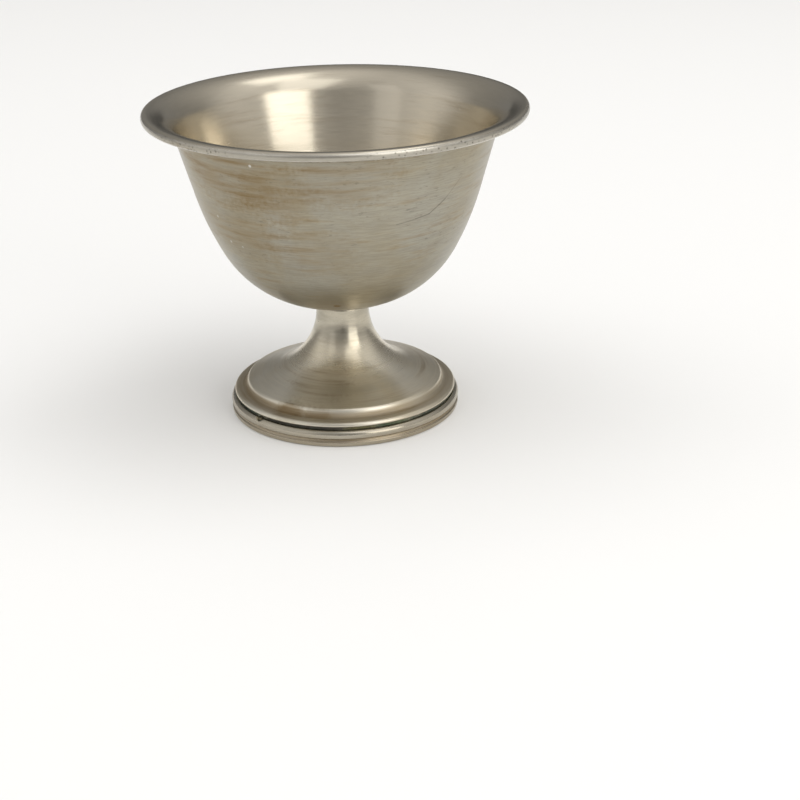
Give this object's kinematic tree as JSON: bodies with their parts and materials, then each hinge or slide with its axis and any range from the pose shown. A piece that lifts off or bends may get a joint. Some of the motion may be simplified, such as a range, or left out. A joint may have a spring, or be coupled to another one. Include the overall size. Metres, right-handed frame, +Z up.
{
  "type": "footed shaving bowl",
  "caption": "Round metal lather bowl with a flared, wired rim on a short flared stem and a stepped foot with a base ring.",
  "frame": {"origin": "centre of the base ring's flat underside, on the table", "axes": "+Z up along the axis of the bowl and its foot; X and Y are free, because the part is round"},
  "size_m": [0.108, 0.108, 0.0895],
  "materials": {
    "bowl_plate": "satin",
    "wire_metal": "satin",
    "seam_solder": "matte",
    "foot_plate": "satin",
    "groove_solder": "matte",
    "ring_plate": "satin"
  },
  "bodies": {
    "root": {"bowl": "bowl_plate", "rim_wire": "wire_metal", "stem_solder": "seam_solder", "foot": "foot_plate", "ring_solder": "groove_solder", "base_ring": "ring_plate"}
  },
  "joints": []
}
